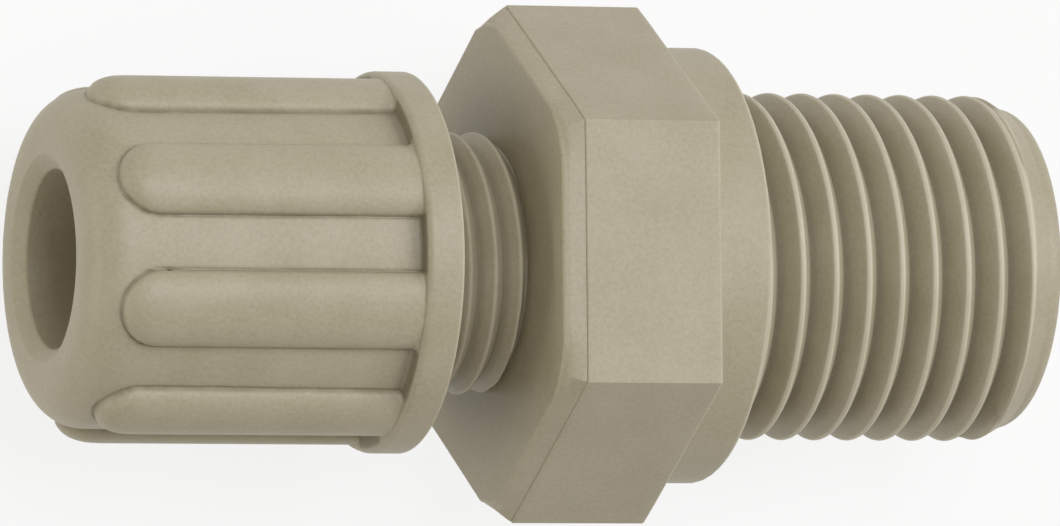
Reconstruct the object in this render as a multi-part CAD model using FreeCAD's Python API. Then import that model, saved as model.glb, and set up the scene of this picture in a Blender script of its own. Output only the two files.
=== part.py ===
import FreeCAD, Part
import math
import os

V = FreeCAD.Vector

# Straight tube fitting: a hexagon body with a male pipe thread, a ribbed union nut and its clamp ring.
# The axis is X. The nut is at -X, the male thread at +X, and the origin is the middle of the
# flange's sealing face. The fitting lies on one flat of its hexagon. Sizes are millimetres.

# Male pipe thread, quarter inch: outside, root, pitch, and its rounded nose
thread_d = 13.157
thread_root_d = 11.445
thread_pitch = 1.337
thread_length = 12.65
crest_flat = 0.17
root_flat = 0.30
nose_length = 1.4
nose_end_d = 11.6
nose_rounding = 0.6
crest_offset = 1.87
crest_angle = 6.0

# Shoulder that centres a flat seal at the foot of the male thread
shoulder_length = 0.3
shoulder_clearance = 0.07

# Flange
flange_d = 16.5
flange_thickness = 2.15
flange_rounding = 0.25

# Hexagon: width over flats, length, and the bevel at the nut's end
hex_flats = 17.0
hex_length = 6.25
bevel_length = 0.87
bevel_depth = 0.2
bevel_circle_d = 18.5
bevel_cone_angle = 45.0

# Stud that the nut screws onto: ten millimetre fine thread, drawn at its outside diameter
stud_d = 9.9
stud_length = 8.3
stud_chamfer = 0.5

# Tube, its socket in the body, and the bore that the water or air runs through
tube_d = 6.0
socket_clearance = 0.075
socket_depth = 10.5
flow_d = 4.5
flow_chamfer = 0.4

# Clamp ring round the tube
ring_clearance = 0.05
ring_wall = 1.2
ring_barrel = 1.2
ring_nose_angle = 30.0
ring_nose_wall = 0.35
ring_heel_angle = 45.0
ring_heel_wall = 0.5
ring_slit = 0.7
ring_seat_gap = 0.06
seat_mouth_inset = 0.15

# Union nut
nut_gap = 3.45
nut_length = 14.1
nut_front_d = 12.6
nut_draft = 0.5
nut_front_rounding = 1.6
nut_mouth_width = 0.57
nut_mouth_depth = 0.43
nut_tube_clearance = 0.35
nut_front_wall = 4.2
nut_thread_clearance = 0.05
nut_lead_in = 0.5
collar_d = 14.35
collar_length = 1.42
collar_rounding = 0.42
collar_root_rounding = 0.4

# Ribs of the nut
rib_count = 8
rib_crest_d = 14.1
rib_round = 1.65
rib_tip_setback = 1.15
rib_draft = 0.15
rib_angle = 19.8

# How far the short chords that stand for a rounding may lie from its true arc
arc_sag = 0.04

# Places along the axis
flange_x = -flange_thickness
hex_x = flange_x - hex_length
stud_end_x = hex_x - stud_length
nut_right_x = hex_x - nut_gap
nut_left_x = nut_right_x - nut_length
collar_x = nut_right_x - collar_length
inside_hex_x = hex_x + hex_length / 2

# Radii
thread_r = thread_d / 2
thread_root_r = thread_root_d / 2
stud_r = stud_d / 2
socket_r = tube_d / 2 + socket_clearance
flow_r = flow_d / 2
ring_bore_r = tube_d / 2 + ring_clearance
ring_r = ring_bore_r + ring_wall
nut_bore_r = tube_d / 2 + nut_tube_clearance
nut_thread_r = stud_r + nut_thread_clearance
seat_mouth_r = ring_r - seat_mouth_inset


def rounded(before, corner, after, rounding):
    """Points that round a corner: the arc touching both sides, as chords within arc_sag of it"""
    if rounding == 0:
        return [corner]
    back = (before - corner).normalize()
    ahead = (after - corner).normalize()
    half = back.getAngle(ahead) / 2
    centre = corner + (back + ahead).normalize() * (rounding / math.sin(half))
    reach = rounding / math.tan(half)
    start = corner + back * reach - centre
    end = corner + ahead * reach - centre
    swing = math.pi - 2 * half
    chords = math.ceil(swing / (2 * math.acos(1 - arc_sag / rounding)))
    shares = [k / chords for k in range(chords + 1)]
    return [
        centre + (start * math.sin(swing * (1 - t)) + end * math.sin(swing * t)) / math.sin(swing)
        for t in shares
    ]


def lathe(corners):
    """Solid turned about the X axis from the (x, radius, rounding) corners of a closed outline"""
    points = [V(c[0], 0, c[1]) for c in corners]
    outline = points[:1]
    for i, point in enumerate(points):
        rounding = corners[i][2] if len(corners[i]) > 2 else 0
        for step in rounded(points[i - 1], point, points[(i + 1) % len(points)], rounding):
            if not step.isEqual(outline[-1], 1e-6):
                outline.append(step)
    wire = Part.makePolygon(outline + outline[:1])
    return Part.Face(wire).revolve(V(0, 0, 0), V(1, 0, 0), 360)


def hexagon(flats, x):
    """Closed hexagon across the axis, with one flat at the top and one at the bottom"""
    corner_r = flats / math.sqrt(3)
    turns = [math.radians(60 * k) for k in range(7)]
    return Part.makePolygon([V(x, corner_r * math.cos(a), corner_r * math.sin(a)) for a in turns])


def hexagon_head():
    """Hexagon with a flat bevel on each side and its corners turned off by a cone"""
    bevel_x = hex_x + bevel_length
    outer = hexagon(hex_flats, bevel_x)
    straight = Part.Face(outer).extrude(V(flange_x - bevel_x, 0, 0))
    bevelled = Part.makeLoft([hexagon(hex_flats - 2 * bevel_depth, hex_x), outer], True, True)
    corner_r = hex_flats / math.sqrt(3)
    round_r = bevel_circle_d / 2
    past_r = corner_r + bevel_length
    cone_length = (past_r - round_r) / math.tan(math.radians(bevel_cone_angle))
    turned = lathe(
        [
            (hex_x, 0),
            (hex_x, round_r),
            (hex_x + cone_length, past_r),
            (flange_x, past_r),
            (flange_x, 0),
        ]
    )
    return straight.fuse(bevelled).common(turned)


def thread_ridge():
    """One long helical ridge with the thread's section, reaching past both ends of the thread"""
    slope = (thread_pitch - root_flat - crest_flat) / 2 / (thread_r - thread_root_r)
    # The section reaches a little into the root, so that the two join all round
    sunk_r = thread_root_r - root_flat / 3
    half_foot = crest_flat / 2 + slope * (thread_r - sunk_r)
    section = Part.makePolygon(
        [
            V(sunk_r, 0, -half_foot),
            V(thread_r, 0, -crest_flat / 2),
            V(thread_r, 0, crest_flat / 2),
            V(sunk_r, 0, half_foot),
            V(sunk_r, 0, -half_foot),
        ]
    )
    turns = math.ceil(thread_length / thread_pitch) + 4
    helix = Part.makeHelix(thread_pitch, turns * thread_pitch, thread_root_r)
    ridge = Part.Wire(helix.Edges).makePipeShell([section], True, True)
    # The helix starts under the bottom of the axis, so half a turn brings its crest to the top
    ridge.rotate(V(0, 0, 0), V(0, 1, 0), 90)
    to_top = thread_pitch * (180 - crest_angle) / 360
    start = crest_offset + to_top - 3 * thread_pitch
    ridge.translate(V(start, 0, 0))
    return ridge


def threaded_end():
    """Root of the male thread with its ridge, cut off inside the flange and by the rounded nose"""
    inside_flange_x = flange_x / 2
    root = Part.makeCylinder(
        thread_root_r, 3 * thread_length, V(-thread_length, 0, 0), V(1, 0, 0)
    )
    nose_end_r = nose_end_d / 2
    clear_r = thread_r + thread_pitch / 4
    taper = nose_length / (thread_r - nose_end_r)
    envelope = lathe(
        [
            (inside_flange_x, 0),
            (inside_flange_x, clear_r),
            (thread_length - taper * (clear_r - nose_end_r), clear_r),
            (thread_length, nose_end_r, nose_rounding),
            (thread_length, 0),
        ]
    )
    return root.fuse(thread_ridge()).common(envelope)


def body_cavity():
    """Cone for the clamp ring, socket for the tube, and the bore through the male thread"""
    cone = math.tan(math.radians(ring_nose_angle))
    outside_x = stud_end_x - 1
    socket_x = stud_end_x + (seat_mouth_r - socket_r) / cone
    stop_x = stud_end_x + socket_depth
    past_end_x = thread_length + 1
    return lathe(
        [
            (outside_x, 0),
            (outside_x, seat_mouth_r + cone),
            (socket_x, socket_r),
            (stop_x, socket_r),
            (stop_x, flow_r),
            (thread_length - flow_chamfer, flow_r),
            (past_end_x, flow_r + flow_chamfer + 1),
            (past_end_x, 0),
        ]
    )


def fitting_body():
    """Stud, hexagon, flange and male thread, moulded in one piece round a stepped bore"""
    spine = lathe(
        [
            (stud_end_x, 0),
            (stud_end_x, stud_r - stud_chamfer),
            (stud_end_x + stud_chamfer, stud_r),
            (inside_hex_x, stud_r),
            (inside_hex_x, flange_d / 2),
            (0, flange_d / 2, flange_rounding),
            (0, thread_r + shoulder_clearance),
            (shoulder_length, thread_r + shoulder_clearance),
            (shoulder_length, 0),
        ]
    )
    outside = spine.fuse([hexagon_head(), threaded_end()])
    return outside.cut(body_cavity()).removeSplitter()


def clamp_ring():
    """Split ring with a cone at each end"""
    nose_length_x = (ring_wall - ring_nose_wall) / math.tan(math.radians(ring_nose_angle))
    heel_slope = math.tan(math.radians(ring_heel_angle))
    heel_length_x = (ring_wall - ring_heel_wall) / heel_slope
    # The heel stands off the cone inside the nut by the seat gap, measured square to the cone
    standoff = ring_seat_gap / math.sin(math.radians(ring_heel_angle))
    cone_start_x = nut_left_x + nut_front_wall
    barrel_x = cone_start_x + (ring_r - nut_bore_r) / heel_slope + standoff
    heel_x = barrel_x - heel_length_x
    nose_x = barrel_x + ring_barrel
    tip_x = nose_x + nose_length_x
    ring = lathe(
        [
            (heel_x, ring_bore_r),
            (heel_x, ring_bore_r + ring_heel_wall),
            (barrel_x, ring_r),
            (nose_x, ring_r),
            (tip_x, ring_bore_r + ring_nose_wall),
            (tip_x, ring_bore_r),
        ]
    )
    slit = Part.makeBox(tip_x - heel_x + 2, 2 * ring_r, ring_slit, V(heel_x - 1, 0, -ring_slit / 2))
    return ring.cut(slit)


def nut_rib():
    """One rib at the top of the nut: a round bar along the nut that ends in a dome"""
    height = (rib_crest_d - nut_front_d) / 2
    dome_reach = math.sqrt(rib_round**2 - (rib_round - height) ** 2)
    dome_x = nut_left_x + rib_tip_setback + dome_reach
    rib = lathe(
        [
            (-rib_round, 0),
            (-rib_round, rib_round, rib_round),
            (collar_x + collar_length / 2 - dome_x, rib_round),
            (collar_x + collar_length / 2 - dome_x, 0),
        ]
    )
    rib.rotate(V(0, 0, 0), V(0, 1, 0), -rib_draft)
    rib.translate(V(dome_x, 0, rib_crest_d / 2 - rib_round))
    return rib


def nut_cavity():
    """Bevelled mouth, tube bore, cone behind the clamp ring, and the bore that holds the thread"""
    heel_slope = math.tan(math.radians(ring_heel_angle))
    cone_start_x = nut_left_x + nut_front_wall
    chamber_x = cone_start_x + (nut_thread_r - nut_bore_r) / heel_slope
    mouth_slope = nut_mouth_width / nut_mouth_depth
    return lathe(
        [
            (nut_left_x - 1, 0),
            (nut_left_x - 1, nut_bore_r + nut_mouth_width + mouth_slope),
            (nut_left_x + nut_mouth_depth, nut_bore_r),
            (cone_start_x, nut_bore_r),
            (chamber_x, nut_thread_r),
            (nut_right_x - nut_lead_in, nut_thread_r),
            (nut_right_x + 1, nut_thread_r + nut_lead_in + 1),
            (nut_right_x + 1, 0),
        ]
    )


def union_nut():
    """Ribbed nut with a collar at its open end"""
    front_r = nut_front_d / 2
    back_r = front_r + (nut_length - collar_length) * math.tan(math.radians(nut_draft))
    outside = lathe(
        [
            (nut_left_x, 0),
            (nut_left_x, front_r, nut_front_rounding),
            (collar_x, back_r, collar_root_rounding),
            (collar_x, collar_d / 2, collar_rounding),
            (nut_right_x, collar_d / 2),
            (nut_right_x, 0),
        ]
    )
    ribs = []
    for k in range(rib_count):
        rib = nut_rib()
        rib.rotate(V(0, 0, 0), V(1, 0, 0), rib_angle + 360 / rib_count * k)
        ribs.append(rib)
    return outside.fuse(ribs).cut(nut_cavity()).removeSplitter()


os.makedirs("parts", exist_ok=True)
pieces = {
    "fitting_body": fitting_body(),
    "clamp_ring": clamp_ring(),
    "union_nut": union_nut(),
}
for name, piece in pieces.items():
    solids = piece.Solids
    print(name, piece.isValid(), len(solids), "solid", round(piece.Volume, 2), "mm3")
    (solids[0] if len(solids) == 1 else piece).exportStep(f"parts/{name}.step")
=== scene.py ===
import math

import bmesh
import bpy
import numpy as np
from mathutils import Matrix, Vector


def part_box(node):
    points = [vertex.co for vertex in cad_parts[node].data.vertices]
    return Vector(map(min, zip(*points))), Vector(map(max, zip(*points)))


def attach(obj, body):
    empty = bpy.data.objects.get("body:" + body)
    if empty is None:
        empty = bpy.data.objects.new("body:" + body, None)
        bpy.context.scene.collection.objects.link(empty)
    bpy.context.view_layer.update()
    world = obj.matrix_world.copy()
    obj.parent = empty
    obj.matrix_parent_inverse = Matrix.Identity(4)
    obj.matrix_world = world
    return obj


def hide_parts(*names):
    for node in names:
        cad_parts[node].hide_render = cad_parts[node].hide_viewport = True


# Looks of the tube fitting. Lengths are millimetres, and turn into metres when a mesh is made;
# those whose name ends in _M are metres already. The axis is X, the nut at -X, and angles about
# it are degrees from +Y over +Z, as a right-hand screw turns.
MM = 0.001

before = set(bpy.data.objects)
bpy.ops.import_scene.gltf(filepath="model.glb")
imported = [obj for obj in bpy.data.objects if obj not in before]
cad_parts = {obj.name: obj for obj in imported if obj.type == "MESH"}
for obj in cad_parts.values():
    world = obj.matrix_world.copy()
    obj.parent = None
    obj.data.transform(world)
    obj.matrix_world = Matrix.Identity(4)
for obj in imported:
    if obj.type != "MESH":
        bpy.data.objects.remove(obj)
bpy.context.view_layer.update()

# Male pipe thread and its rounded nose
THREAD_R = 6.5785
THREAD_ROOT_R = 5.7225
THREAD_PITCH = 1.337
THREAD_START = -0.6
THREAD_END = 12.65
THREAD_FORM = dict(crest_flat=0.08, root_flat=0.12, soft=0.07, belly=1.3)
CREST_X = 1.87
CREST_TURN = 96.0
NOSE_START = 11.25
NOSE_END_R = 5.8
NOSE_ROUND = 0.6
NOSE_DROP = 0.54
RUN_OUT_X = THREAD_END - 1.6
RUN_OUT = 0.2

# Flange and hexagon; OPEN is wider than any corner, so that nothing is cut off
SHOULDER_R = 6.6485
SHOULDER = 0.3
FLANGE_R = 8.25
FLANGE_X = -2.15
FLANGE_ROUND = 0.25
HEX_X = -8.4
HEX_HALF = 8.5
HEX_END_ROUND = 0.16
HEX_BACK_ROUND = 0.12
BEVEL = 0.87
BEVEL_DEPTH = 0.2
BEVEL_STEP = 0.05
BEVEL_ROUND = 0.07
CORNER_CUT_R = 9.110
CORNER_CONE = 0.74
OPEN = 99

# Stud with its fine thread, and the bores inside
STUD_END = -16.7
FINE_PITCH = 1.0
FINE_FORM = dict(crest_flat=0.03, root_flat=0.06, soft=0.06, belly=1.15)
STUD_R = 4.95
STUD_ROOT_R = 4.42
STUD_CAP_R = STUD_ROOT_R - 0.12
FINE_CREST_X = -9.79
NECK_X = HEX_X - 0.33
SOCKET_R = 3.075
SOCKET_STOP = -6.2
SEAT_MOUTH_R = 4.1
FLOW_R = 2.25

# Union nut
NUT_LEFT = -25.95
NUT_RIGHT = -11.85
NUT_R = 6.3
NUT_DRAFT = math.tan(math.radians(0.5))
NUT_ROUND = 1.6
MOUTH_R = 3.92
MOUTH_DEPTH = 0.43
NUT_BORE_R = 3.35
NUT_CONE_X = -21.75
NUT_THREAD_R = 5.0
NUT_THREAD_ROOT_R = 5.06
NUT_THREAD = 6.0
NUT_RELIEF_X = NUT_RIGHT - 5.3
COLLAR_X = -13.27
COLLAR_R = 7.175
COLLAR_ROUND = 0.3
COLLAR_FOOT = 0.16
COLLAR_RIM = 0.07
RIBS = 8
RIB_CREST_R = 7.05
RIB_HALF = 1.47
RIB_TIP_X = -24.83
RIB_TURN = 19.8
RIB_DOME = 2.1
CORE_MEAN_R = 6.36
AFTER_TIP = 1.4
BEFORE_COLLAR = 0.9
FOOT_LINE = 0.06

# Colour of recesses and edges: shares of painted shade, and of painted highlight
FOOT_PAINTED_SHADE = 0.5
CORNER_PAINTED_SHADE = 0.55
ROOT_PAINTED_SHADE = 0.5
ROOT_WIDTH = 0.14
EDGE_HIGHLIGHT = 0.55
PAINTED_SHADE_COLOUR = (0.12, 0.10, 0.06, 1)
PAINTED_HIGHLIGHT_COLOUR = (0.72, 0.67, 0.53, 1)
PIT_SHADE_COLOUR = (0.035, 0.026, 0.016, 1)
TONE = dict(colour=(0.426, 0.382, 0.277), shade=(0.366, 0.322, 0.220), rough=0.47, grain=0.9)
RING_TONE = dict(colour=(0.70, 0.67, 0.58), shade=(0.64, 0.61, 0.52), rough=0.5, grain=0.25)
ROUGH_SPREAD = 0.06
SHARP_ANGLE = 32
WELD_M = 2e-7


def smooth_min(a, b, width):
    """The lower of two heights, with a rounding where they meet"""
    h = np.clip(0.5 + 0.5 * (b - a) / width, 0, 1)
    return b + (a - b) * h - width * h * (1 - h)


def smooth_max(a, b, width):
    """The higher of two heights, with a rounding where they meet"""
    return -smooth_min(-a, -b, width)


def bell(away, width):
    """1 where something is near, falling off smoothly over a width"""
    return np.exp(-((away / width) ** 2))


def quarter_turn(count):
    """Angles in radians from 0 to a quarter turn"""
    return np.linspace(0, math.pi / 2, count)


def new_object(name, data):
    thing = bpy.data.objects.new(name, data)
    bpy.context.scene.collection.objects.link(thing)
    return thing


def new_piece(name, points, faces, material, body, node):
    """A smooth-shaded mesh piece in metres that rides on a body and stands for a CAD node"""
    mesh = bpy.data.meshes.new(name)
    mesh.from_pydata((points[:, :3] * MM).tolist(), [], faces)
    # Painted shade (above nothing) and painted highlight (below nothing) go along as a point attribute
    painted_light = mesh.attributes.new("painted_light", "FLOAT", "POINT")
    painted_light.data.foreach_set("value", points[:, 3].astype(np.float32))
    build = bmesh.new()
    build.from_mesh(mesh)
    bmesh.ops.remove_doubles(build, verts=build.verts, dist=WELD_M)
    bmesh.ops.recalc_face_normals(build, faces=build.faces)
    build.to_mesh(mesh)
    build.free()
    mesh.polygons.foreach_set("use_smooth", [True] * len(mesh.polygons))
    mesh.set_sharp_from_angle(angle=math.radians(SHARP_ANGLE))
    mesh.materials.append(material)
    piece = new_object(name, mesh)
    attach(piece, body)
    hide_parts(node)


def sheet(x, r, turns, painted_light=0.0):
    """Points with their painted shade and highlight, and faces, of a skin round the axis; x and r are
    rows by columns
    """
    rows, columns = x.shape
    a = np.radians(turns)
    points = np.stack([x, r * np.cos(a), r * np.sin(a), painted_light + 0 * x], axis=-1).reshape(-1, 4)
    faces = []
    for i in range(rows - 1):
        start = i * columns
        for k in range(start, start + columns - 1):
            faces.append((k, k + 1, k + columns + 1, k + columns))
    return points, faces


def joined(*parts):
    """Several lists of points and faces as one"""
    points, faces, count = [], [], 0
    for p, f in parts:
        points.append(p)
        faces += [tuple(i + count for i in face) for face in f]
        count += len(p)
    return np.vstack(points), faces


class Rows:
    """Rows of points round the axis, added one by one; x and r are a number or one per column"""

    def __init__(self, turns):
        self.ones = np.ones(len(turns))
        self.x, self.r = [], []

    def add(self, x, r):
        self.x.append(x * self.ones)
        self.r.append(r * self.ones)

    def arrays(self):
        return np.array(self.x), np.array(self.r)


def turned(profile, turns):
    """Rows for a profile of (x, radius) points turned about the axis"""
    rows = Rows(turns)
    for x, r in profile:
        rows.add(x, r)
    return rows.arrays()


def thread_height(u, pitch, crest_r, root_r, crest_flat, root_flat, soft, belly):
    """Radius of a thread's surface u turns past a crest; a belly over 1 makes its flanks bulge"""
    u = np.abs((u + 0.5) % 1 - 0.5) * pitch
    flank = (pitch - crest_flat - root_flat) / 2
    down = (u - crest_flat / 2) / flank
    line = crest_r - (crest_r - root_r) * np.sign(down) * np.abs(down) ** belly
    return smooth_max(smooth_min(line, crest_r + 0 * u, soft), root_r + 0 * u, soft)


def thread_rows(start, end, pitch, crest_x, marks, turns, crest_r, root_r, form):
    """Rows along a right-hand helix, held between start and end; marks are shares of a pitch"""
    x0 = crest_x - pitch * CREST_TURN / 360
    first = math.floor((start - x0) / pitch) - 2
    last = math.ceil((end - x0) / pitch) + 1
    steps = [k + m for k in range(first, last + 1) for m in marks]
    x = x0 + np.add.outer(np.array(steps), turns / 360) * pitch
    x = np.clip(x, start, end)
    u = (x - x0) / pitch - turns[None, :] / 360
    return x, thread_height(u, pitch, crest_r, root_r, **form)


def threaded_end():
    """Male thread with its nose, and everything inside the body"""
    turns = np.linspace(0, 360, 289)
    marks = (0, 0.03, 0.06, 0.1, 0.18, 0.28, 0.37, 0.42)
    marks += (0.5, 0.58, 0.63, 0.72, 0.82, 0.9, 0.94, 0.97)
    end = THREAD_END - NOSE_ROUND
    radii = (THREAD_R + 0.02, THREAD_ROOT_R - 0.006)
    x, r = thread_rows(
        THREAD_START, end, THREAD_PITCH, CREST_X, marks, turns, *radii, THREAD_FORM
    )
    # The valley runs out just before the end, which leaves a plain ring as the nose
    slope = (THREAD_R - NOSE_END_R) / (THREAD_END - NOSE_START)
    nose = THREAD_R - (x - NOSE_START) * slope
    out = np.clip((x - RUN_OUT_X) / RUN_OUT, 0, 1)
    r = np.maximum(r, THREAD_ROOT_R + (nose - THREAD_ROOT_R) * out**2 * (3 - 2 * out))
    r = smooth_min(r, nose, 0.05)
    # The nose rounds over to the end face
    t = quarter_turn(9)[1:, None]
    round_x = x[-1] + (THREAD_END - x[-1]) * np.sin(t)
    round_r = r[-1] - NOSE_DROP * (1 - np.cos(t))
    # Chamfer, flow bore, the tube's stop, its socket and the seat of the clamp ring
    inside = [
        (THREAD_END, FLOW_R + 0.55),
        (THREAD_END - 0.02, FLOW_R + 0.42),
        (THREAD_END - 0.38, FLOW_R + 0.02),
        (THREAD_END - 0.5, FLOW_R),
        (SOCKET_STOP + 0.05, FLOW_R),
        (SOCKET_STOP, FLOW_R + 0.05),
        (SOCKET_STOP, SOCKET_R),
        (STUD_END + 1.9, SOCKET_R),
        (STUD_END + 1.7, SOCKET_R + 0.05),
        (STUD_END + 0.06, SEAT_MOUTH_R - 0.04),
        (STUD_END, SEAT_MOUTH_R + 0.06),
        (STUD_END, STUD_CAP_R),
    ]
    ix, ir = turned(inside, turns)
    # Painted shade in the thread's roots, and a painted highlight along its crests
    root_shade = bell(r - THREAD_ROOT_R, ROOT_WIDTH) * (x > 0)
    crest = bell(THREAD_R - 0.01 - r, 0.032) * (x > 0) * (x < NOSE_START + 0.3)
    painted_light = np.vstack([ROOT_PAINTED_SHADE * root_shade - EDGE_HIGHLIGHT * crest, 0 * round_x, 0 * ix])
    return sheet(np.vstack([x, round_x, ix]), np.vstack([r, round_r, ir]), turns, painted_light)


def stud():
    """Stud with the fine thread that carries the nut"""
    turns = np.linspace(0, 360, 193)
    marks = (0, 0.06, 0.11, 0.17, 0.27, 0.37, 0.43, 0.5, 0.57, 0.63, 0.73, 0.83, 0.89, 0.94)
    start, end = STUD_END + 0.1, HEX_X + 0.4
    radii = (STUD_R, STUD_ROOT_R)
    x, r = thread_rows(start, end, FINE_PITCH, FINE_CREST_X, marks, turns, *radii, FINE_FORM)
    lead_in = STUD_R - 0.5 + (x - STUD_END)
    r = smooth_min(r, lead_in, 0.05)
    # The thread runs out in a plain neck just before the hexagon
    neck = STUD_R + 0.1 - np.clip((x - NECK_X) / RUN_OUT, 0, 1) * (STUD_R - STUD_ROOT_R)
    r = smooth_min(r, neck, 0.04)
    cap_x, cap_r = turned([(STUD_END, STUD_CAP_R), (STUD_END, STUD_CAP_R + 0.06)], turns)
    # Painted shade in the fine thread's roots, and a painted highlight along its crests
    root_shade = bell(r - STUD_ROOT_R, ROOT_WIDTH) * (x > STUD_END + 0.5)
    crest = bell(STUD_R - 0.01 - r, 0.035)
    painted_light = np.vstack([0 * cap_x, ROOT_PAINTED_SHADE * root_shade - 0.5 * EDGE_HIGHLIGHT * crest])
    return sheet(np.vstack([cap_x, x]), np.vstack([cap_r, r]), turns, painted_light)


def hexagon_and_flange():
    """Hexagon with bevel and cut corners, the round flange and the shoulder"""
    # Columns are close together at the corners, which lie at 30 degrees and every 60 on
    near = (0, 0.25, 0.5, 0.8, 1.2, 1.7, 2.3, 3.0, 4.0, 5.5, 8, 12, 17, 23)
    around = sorted({-a for a in near} | set(near) | {30})
    turns = np.array([30.0 + 60 * k + a for k in range(6) for a in around])
    turns = np.concatenate([turns, [turns[0] + 360]])
    from_flat = np.abs(np.radians((turns + 30) % 60 - 30))
    rows = Rows(turns)

    def outline(half, cut_r):
        """Radius of the hexagon with rounded corners, and with a round cut of them"""
        corner = half / np.cos(np.radians(30) - from_flat)
        corner_r = half / math.cos(math.radians(30))
        corner = smooth_min(corner, corner_r - 0.03 + 0 * corner, 0.07)
        return smooth_min(corner, cut_r + 0 * corner, 0.05)

    for r in (STUD_ROOT_R - 0.3, 6.0, 7.4):
        rows.add(HEX_X, r)
    end = outline(HEX_HALF - BEVEL_DEPTH, CORNER_CUT_R)
    for s in quarter_turn(6):
        x = HEX_X + HEX_END_ROUND * (1 - math.cos(s))
        rows.add(x, end - HEX_END_ROUND * (1 - math.sin(s)))
    for x in (0.24, 0.32, 0.4, 0.48, 0.56, 0.64, 0.72, 0.8):
        half = HEX_HALF - BEVEL_DEPTH + (BEVEL_DEPTH - BEVEL_STEP) * x / BEVEL
        rows.add(HEX_X + x, outline(half, CORNER_CUT_R + x * CORNER_CONE))
    bevel_x = HEX_X + BEVEL
    bevel_end = outline(HEX_HALF - BEVEL_STEP, CORNER_CUT_R + BEVEL * CORNER_CONE)
    rows.add(bevel_x - 0.02, bevel_end)
    for s in quarter_turn(5):
        half = HEX_HALF - BEVEL_ROUND * (1 - math.sin(s))
        rows.add(bevel_x + BEVEL_ROUND * (1 - math.cos(s)), outline(half, OPEN))
    full = outline(HEX_HALF, OPEN)
    for x in (bevel_x + 0.4, -5.0, FLANGE_X - 0.5):
        rows.add(x, full)
    for s in quarter_turn(5):
        x = FLANGE_X - HEX_BACK_ROUND * (1 - math.sin(s))
        rows.add(x, full - HEX_BACK_ROUND * (1 - math.cos(s)))
    # Flange, from its corner at the hexagon to its rounded rim
    rows.add(FLANGE_X, FLANGE_R + 0.06)
    rows.add(FLANGE_X + 0.02, FLANGE_R + 0.015)
    rows.add(FLANGE_X + 0.08, FLANGE_R)
    rows.add(THREAD_START, FLANGE_R)
    for s in quarter_turn(8):
        rows.add(-FLANGE_ROUND * (1 - math.sin(s)), FLANGE_R - FLANGE_ROUND * (1 - math.cos(s)))
    # Shoulder at the thread's foot
    rows.add(0, SHOULDER_R + 0.06)
    rows.add(0.03, SHOULDER_R + 0.01)
    rows.add(0.09, SHOULDER_R)
    rows.add(SHOULDER - 0.09, SHOULDER_R)
    rows.add(SHOULDER - 0.02, SHOULDER_R - 0.03)
    rows.add(SHOULDER, SHOULDER_R - 0.1)
    rows.add(SHOULDER, THREAD_ROOT_R - 0.2)
    # Painted highlight on edges: the flange's rim and the hexagon's end beside it
    x, r = rows.arrays()
    rim = bell(np.hypot(x + 0.08, r - FLANGE_R + 0.08), 0.07)
    back = bell(x - FLANGE_X + 0.04, 0.05) * (r > HEX_HALF - 0.1)
    return sheet(x, r, turns, -EDGE_HIGHLIGHT * np.maximum(rim, 0.4 * back))


def nut_columns():
    """Angles round the nut, close at the ribs' edges, and how far each lies across its rib"""
    shares = (0, 9, 18, 27, 36, 45, 54, 62, 69, 75, 80, 84, 87, 90)
    inside = [RIB_HALF * math.sin(math.radians(a)) for a in shares]
    valley = math.pi / RIBS * CORE_MEAN_R
    outside = [RIB_HALF + d for d in (0.02, 0.045, 0.08, 0.13, 0.2, 0.32, 0.5, 0.75)] + [valley]
    one_side = inside + outside
    across = [-a for a in one_side[:0:-1]] + one_side[:-1]
    middles = [90 + RIB_TURN + 360 / RIBS * k for k in range(RIBS)]
    turns = [middle + math.degrees(a / CORE_MEAN_R) for middle in middles for a in across]
    return np.array(turns + [turns[0] + 360]), np.array(across * RIBS + [across[0]])


def from_rib(x, across):
    """How far out of a rib's middle line a point is, as a share of the rib's half width"""
    return np.hypot(np.maximum(RIB_TIP_X + RIB_HALF - x, 0), across) / RIB_HALF


def nut_outside(x, turns, across):
    """Radius of the nut up to its collar: domed ribs with half-round ends, a thin line at their foot"""
    lead = np.clip((NUT_LEFT + NUT_ROUND - x) / NUT_ROUND, 0, 1)
    draft = (x - NUT_LEFT) * NUT_DRAFT
    core = NUT_R + draft - NUT_ROUND * (1 - np.sqrt(1 - lead**2))
    out = from_rib(x, across)
    rise = RIB_CREST_R - NUT_R - draft
    dome = rise * np.sqrt(np.maximum(1 - np.minimum(out, 1) ** RIB_DOME, 0))
    uneven = 0.6 + 0.4 * np.sin(3.1 * x + 2.3 * turns) * np.sin(7.7 * x - 1.1 * turns)
    line = FOOT_LINE * uneven * bell((out - 1.02) * RIB_HALF, 0.05)
    return core + dome - line * (out > 0.99)


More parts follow.
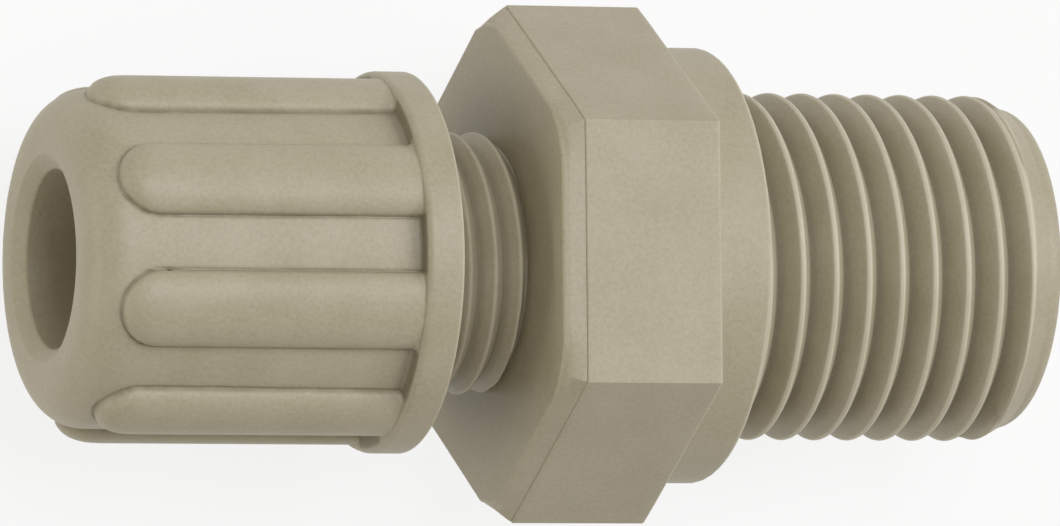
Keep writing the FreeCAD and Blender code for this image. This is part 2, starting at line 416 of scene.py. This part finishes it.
def nut_skin(turns, across):
    """Outside of the nut, from its mouth over the ribs and the collar to its open end"""
    rows = Rows(turns)
    # Bevelled mouth and the flat ring of the front face
    rows.add(NUT_LEFT + MOUTH_DEPTH + 0.06, NUT_BORE_R)
    rows.add(NUT_LEFT + MOUTH_DEPTH, NUT_BORE_R + 0.02)
    rows.add(NUT_LEFT + MOUTH_DEPTH - 0.06, NUT_BORE_R + 0.08)
    rows.add(NUT_LEFT + 0.05, MOUTH_R - 0.07)
    rows.add(NUT_LEFT + 0.012, MOUTH_R - 0.012)
    rows.add(NUT_LEFT, MOUTH_R + 0.05)
    rows.add(NUT_LEFT, NUT_R - NUT_ROUND - 0.15)
    # Front rounding up to the ribs' half-round ends, whose outline one row follows; then the
    # ribs' length, with close rows before the collar
    tip = RIB_TIP_X + RIB_HALF - np.sqrt(np.maximum(RIB_HALF**2 - across**2, 0))
    places = [
        NUT_LEFT + (tip - 0.2 - NUT_LEFT) * (1 - math.cos(s * math.pi / 2))
        for s in np.linspace(0, 1, 14)
    ]
    steps = (-0.13, -0.085, -0.055, -0.035, -0.018, 0, 0.006, 0.02, 0.045, 0.08)
    steps += (0.13, 0.2, 0.3, 0.45, 0.65, 0.95, AFTER_TIP)
    places += [tip + step for step in steps]
    places += [
        (tip + AFTER_TIP) * (1 - share) + (COLLAR_X - BEFORE_COLLAR) * share
        for share in np.linspace(0, 1, 13)[1:-1]
    ]
    places += [COLLAR_X - short for short in (BEFORE_COLLAR, 0.65, 0.48, 0.35, 0.26, 0.2)]
    for x in places:
        rows.add(x, nut_outside(x, turns, across))
    # Fillet at the collar's foot, then its rounded edge and its rim at the open end
    base = nut_outside(COLLAR_X - COLLAR_FOOT, turns, across)
    room = np.maximum(COLLAR_R - COLLAR_ROUND - base, 0.0)
    fillet = np.minimum(COLLAR_FOOT, room)
    for s in quarter_turn(7):
        rows.add(COLLAR_X - COLLAR_FOOT * (1 - math.sin(s)), base + fillet * (1 - math.cos(s)))
    step = np.maximum(base + fillet, COLLAR_R - COLLAR_ROUND)
    for s in quarter_turn(7):
        x = COLLAR_X + COLLAR_ROUND * (1 - math.cos(s))
        rows.add(x, step + (COLLAR_R - step) * math.sin(s))
    rows.add(NUT_RIGHT - 0.12, COLLAR_R)
    for s in quarter_turn(5):
        x = NUT_RIGHT - COLLAR_RIM * (1 - math.sin(s))
        rows.add(x, COLLAR_R - COLLAR_RIM * (1 - math.cos(s)))
    rows.add(NUT_RIGHT, NUT_THREAD_R + 0.7)
    rows.add(NUT_RIGHT, NUT_THREAD_R + 0.55)
    rows.add(NUT_RIGHT - 0.03, NUT_THREAD_R + 0.48)
    # Painted shade lies along the ribs' foot, and in the corner where each valley meets the collar
    x, r = rows.arrays()
    out = from_rib(x, across)
    uneven = 0.65 + 0.35 * np.sin(2.3 * x + 1.9 * turns) * np.sin(6.1 * x - 1.3 * turns)
    at_foot = uneven * bell((out - 1.02) * RIB_HALF, 0.07) * (x < COLLAR_X)
    in_corner = bell(x - COLLAR_X, 0.3) * np.clip((out - 0.93) / 0.1, 0, 1)
    in_corner = in_corner * (x < COLLAR_X + 0.02)
    painted_light = np.maximum(FOOT_PAINTED_SHADE * at_foot, CORNER_PAINTED_SHADE * in_corner) * (x < NUT_RIGHT - 0.5)
    # Painted highlight on the collar's rim at the open end
    rim = bell(np.hypot(x - NUT_RIGHT + 0.03, r - COLLAR_R + 0.03), 0.05)
    return sheet(x, r, turns, painted_light - EDGE_HIGHLIGHT * rim)


def nut_inside(turns):
    """Inner thread with its relief, the cone behind the clamp ring and the tube's bore"""
    marks = (0, 0.07, 0.14, 0.25, 0.36, 0.43, 0.5, 0.57, 0.64, 0.75, 0.86, 0.93)
    start, end = NUT_RIGHT - NUT_THREAD, NUT_RIGHT - 0.03
    radii = (NUT_THREAD_ROOT_R, STUD_ROOT_R + 0.1)
    x, r = thread_rows(start, end, FINE_PITCH, FINE_CREST_X, marks, turns, *radii, FINE_FORM)
    lead_in = NUT_THREAD_R + 0.5 - (NUT_RIGHT - x)
    r = np.where(x < NUT_RELIEF_X, NUT_THREAD_R, np.maximum(r, lead_in))
    inside = [
        (NUT_CONE_X + NUT_THREAD_R - NUT_BORE_R, NUT_THREAD_R),
        (NUT_CONE_X, NUT_BORE_R),
        (NUT_LEFT + MOUTH_DEPTH + 0.06, NUT_BORE_R),
    ]
    ix, ir = turned(inside, turns)
    return sheet(np.vstack([x[::-1], ix]), np.vstack([r[::-1], ir]), turns)


# Node trees. A value is a number, a colour, or another node's output
def fill(tree, socket, value):
    if isinstance(value, bpy.types.NodeSocket):
        tree.links.new(value, socket)
    else:
        socket.default_value = value


def new_node(tree, kind, **values):
    """A node whose inputs, named with _ for a blank, are filled"""
    node = tree.nodes.new(kind)
    for name, value in values.items():
        fill(tree, node.inputs[name.replace("_", " ")], value)
    return node


def maths(tree, operation, *values, clamp=False):
    """Result of a sum on values"""
    node = tree.nodes.new("ShaderNodeMath")
    node.operation = operation
    node.use_clamp = clamp
    for socket, value in zip(node.inputs, values):
        fill(tree, socket, value)
    return node.outputs["Value"]


def colour_mix(tree, share, colour, other):
    """A colour with a share of another one in it"""
    node = tree.nodes.new("ShaderNodeMix")
    node.data_type = "RGBA"
    fill(tree, node.inputs["Factor"], share)
    fill(tree, node.inputs["A"], colour)
    fill(tree, node.inputs["B"], other)
    return node.outputs["Result"]


def shader_mix(tree, share, shader, other, output):
    """Send a shader with a share of another one in it to the tree's output"""
    node = tree.nodes.new("ShaderNodeMixShader")
    for socket, value in zip(node.inputs, (share, shader, other)):
        fill(tree, socket, value)
    tree.links.new(node.outputs["Shader"], tree.nodes[output].inputs["Surface"])


def background_rays(tree):
    """1 for the rays that show the background: the camera's own, and mirrored or let-through ones"""
    path = tree.nodes.new("ShaderNodeLightPath")
    mirrored = maths(
        tree, "MAXIMUM", path.outputs["Is Camera Ray"], path.outputs["Is Glossy Ray"]
    )
    return maths(tree, "MAXIMUM", mirrored, path.outputs["Is Transmission Ray"])


def new_material(name):
    """A material, its node tree and its shader"""
    material = bpy.data.materials.new(name)
    material.use_nodes = True
    return material, material.node_tree, material.node_tree.nodes["Principled BSDF"]


def plastic(name, colour, shade, rough, grain, pit=None, nub=None):
    """Matt moulded plastic, cloudy and finely grained, with painted shade in recesses and painted
    highlight on edges, a pit painted as a dark spot of shade and a raised nub if given
    """
    material, tree, shader = new_material(name)
    place = tree.nodes.new("ShaderNodeTexCoord").outputs["Object"]

    def noise(scale, detail):
        node = new_node(tree, "ShaderNodeTexNoise", Vector=place, Scale=scale, Detail=detail)
        return node.outputs["Fac"]

    def spot(point, inner, outer):
        """1 at a point of the object, falling to 0 at the outer distance from it"""
        far = tree.nodes.new("ShaderNodeVectorMath")
        far.operation = "DISTANCE"
        fill(tree, far.inputs[0], place)
        fill(tree, far.inputs[1], point)
        near = new_node(
            tree, "ShaderNodeMapRange", Value=far.outputs["Value"],
            From_Min=inner, From_Max=outer, To_Min=1, To_Max=0,
        )
        near.interpolation_type = "SMOOTHSTEP"
        return near.outputs["Result"]

    # Speckle and clouds run between two tones
    clouds = noise(420, 5)
    both = maths(tree, "MULTIPLY", maths(tree, "ADD", noise(6500, 2), clouds), 0.5)
    ramp = new_node(tree, "ShaderNodeValToRGB", Fac=both)
    low, high = ramp.color_ramp.elements
    low.position, low.color = 0.36, (*shade, 1)
    high.position, high.color = 0.64, (*colour, 1)
    # Painted shade darkens recesses, and a value below nothing is a painted highlight, which leaves an
    # edge lighter
    attribute = tree.nodes.new("ShaderNodeAttribute")
    attribute.attribute_name = "painted_light"
    painted_light = attribute.outputs["Fac"]
    highlight_share = maths(tree, "MULTIPLY", painted_light, -1, clamp=True)
    seen = colour_mix(tree, painted_light, ramp.outputs["Color"], PAINTED_SHADE_COLOUR)
    seen = colour_mix(tree, highlight_share, seen, PAINTED_HIGHLIGHT_COLOUR)
    # The pit is painted as a dark spot of shade
    if pit:
        seen = colour_mix(tree, spot(pit, 0.00006, 0.00014), seen, PIT_SHADE_COLOUR)
    # Grain, and the nub on it
    height = maths(tree, "MULTIPLY_ADD", noise(5200, 3), 0.6, noise(900, 2))
    if nub:
        height = maths(tree, "MULTIPLY_ADD", spot(nub, 0.00002, 0.00016), 3.0, height)
    bump = new_node(tree, "ShaderNodeBump", Strength=grain, Distance=0.00002, Height=height)
    sheen = new_node(
        tree, "ShaderNodeMapRange", Value=clouds,
        To_Min=rough - ROUGH_SPREAD, To_Max=rough + ROUGH_SPREAD,
    )
    looks = {
        "Base Color": seen,
        "Normal": bump.outputs["Normal"],
        "Roughness": sheen.outputs["Result"],
        "IOR": 1.5,
        "Specular IOR Level": 0.5,
        "Subsurface Weight": 0.06,
        "Subsurface Radius": (1.0, 0.8, 0.5),
        "Subsurface Scale": 0.0003,
    }
    for socket, value in looks.items():
        fill(tree, shader.inputs[socket], value)
    return material


def on_nut(x, r, turn):
    """A point of the nut in metres, from its place along the axis, its radius and its angle"""
    a = math.radians(turn)
    return (x * MM, r * math.cos(a) * MM, r * math.sin(a) * MM)


# The pit, painted as a dark spot of shade, lies beside the top rib, the nub beside the next
rib_edge = 90 + RIB_TURN - math.degrees(RIB_HALF / CORE_MEAN_R)
pit = on_nut(-23.15, 6.4, rib_edge)
nub = on_nut(-22.85, 6.4, rib_edge - 360 / RIBS - 1.0)
grey = plastic("moulded_plastic", **TONE)
nut_grey = plastic("moulded_plastic_nut", pit=pit, nub=nub, **TONE)
pale = plastic("ring_plastic", **RING_TONE)

points, faces = joined(threaded_end(), hexagon_and_flange(), stud())
new_piece("fitting_body_look", points, faces, grey, "body", "fitting_body")
nut_turns, nut_across = nut_columns()
points, faces = joined(nut_skin(nut_turns, nut_across), nut_inside(nut_turns))
new_piece("union_nut_look", points, faces, nut_grey, "nut", "union_nut")

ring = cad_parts["clamp_ring"]
ring.data.materials.clear()
ring.data.materials.append(pale)


# Camera, placed to see the fitting as the photo does. SCALE is pixels for each millimetre, and
# OFFSET moves the picture across and up
YAW, ORBIT, ROLL = (math.radians(a) for a in (20.187, 3.5, 0.604))
DISTANCE = 479.7
SCALE = 26.516
AIM = Vector((-6.7, 0, 0))
OFFSET = (-0.038, -0.038)
IMAGE_WIDTH = 1060
SENSOR = 36

sin_yaw, cos_yaw = math.sin(YAW), math.cos(YAW)
sin_orbit, cos_orbit = math.sin(ORBIT), math.cos(ORBIT)
away = Vector((-sin_yaw, -cos_yaw * sin_orbit, cos_yaw * cos_orbit))
right = Vector((cos_yaw, -sin_yaw * sin_orbit, sin_yaw * cos_orbit))
up = away.cross(right)
sin_roll, cos_roll = math.sin(ROLL), math.cos(ROLL)
right, up = right * cos_roll + up * sin_roll, up * cos_roll - right * sin_roll
place = (AIM + away * DISTANCE - right * OFFSET[0] - up * OFFSET[1]) * MM

lens = bpy.data.cameras.new("camera")
lens.sensor_width = SENSOR
lens.lens = SCALE * DISTANCE / IMAGE_WIDTH * SENSOR
lens.clip_start = 0.01
lens.clip_end = 10
camera = new_object("camera", lens)
turn = Matrix((right, up, away)).transposed().to_4x4()
camera.matrix_world = Matrix.Translation(place) @ turn
bpy.context.scene.camera = camera
bpy.context.scene.view_settings.view_transform = "Standard"


# Floor, a hair under the fitting, so that the two faces do not share a plane
FLOOR_COLOUR = (0.80, 0.79, 0.77, 1)
FLOOR_WHITE = 0.85
FLOOR_HALF_M = 1.5
FLOOR_GAP_M = 0.00002


def floor_material():
    """White table top; the camera sees it mostly as plain white, with the shadow left in"""
    material, tree, shader = new_material("floor")
    shader.inputs["Base Color"].default_value = FLOOR_COLOUR
    shader.inputs["Roughness"].default_value = 0.9
    shader.inputs["Specular IOR Level"].default_value = 0.1
    white = tree.nodes.new("ShaderNodeEmission").outputs["Emission"]
    share = maths(tree, "MULTIPLY", background_rays(tree), FLOOR_WHITE)
    shader_mix(tree, share, shader.outputs["BSDF"], white, "Material Output")
    return material


floor_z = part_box("fitting_body")[0].z - FLOOR_GAP_M
mesh = bpy.data.meshes.new("floor")
around = ((-1, -1), (1, -1), (1, 1), (-1, 1))
corners = [(a * FLOOR_HALF_M, b * FLOOR_HALF_M, floor_z) for a, b in around]
mesh.from_pydata(corners, [], [(0, 1, 2, 3)])
mesh.materials.append(floor_material())
floor = new_object("floor", mesh)


def softbox(name, direction, distance, size, level, colour):
    """Lamp that gives a white surface which faces it squarely this level of brightness; metres"""
    light = bpy.data.lights.new(name, "AREA")
    light.shape = "RECTANGLE"
    light.size, light.size_y = size
    light.energy = level * math.pi**2 * distance**2
    light.color = colour
    lamp = new_object(name, light)
    direction = Vector(direction).normalized()
    lamp.location = AIM * MM + direction * distance
    lamp.rotation_mode = "QUATERNION"
    lamp.rotation_quaternion = direction.to_track_quat("Z", "Y")


key = right * 0.34 + up * 0.3 + away * 0.89
side = right * 0.93 + up * 0.16 + away * 0.36
softbox("key", key, 0.6, (0.3, 0.3), 0.42, (0.98, 1.0, 1.10))
softbox("side", side, 0.6, (0.3, 0.3), 0.33, (0.98, 1.0, 1.07))
# Light off the table to the left, so low that it reaches the nut's front and not its upper side
softbox("low", (-1, 0, -0.01), 0.2, (0.2, 0.016), 0.2, (1.0, 0.97, 0.88))

# Surroundings: a warm, dim room for the light, and plain white where the background shows
world = bpy.data.worlds.new("surroundings")
bpy.context.scene.world = world
world.use_nodes = True
tree = world.node_tree
room = tree.nodes["Background"]
room.inputs["Color"].default_value = (1.0, 0.95, 0.80, 1)
room.inputs["Strength"].default_value = 0.40
white = new_node(tree, "ShaderNodeBackground", Color=(1, 1, 1, 1), Strength=1.0)
outputs = room.outputs["Background"], white.outputs["Background"]
shader_mix(tree, background_rays(tree), *outputs, "World Output")
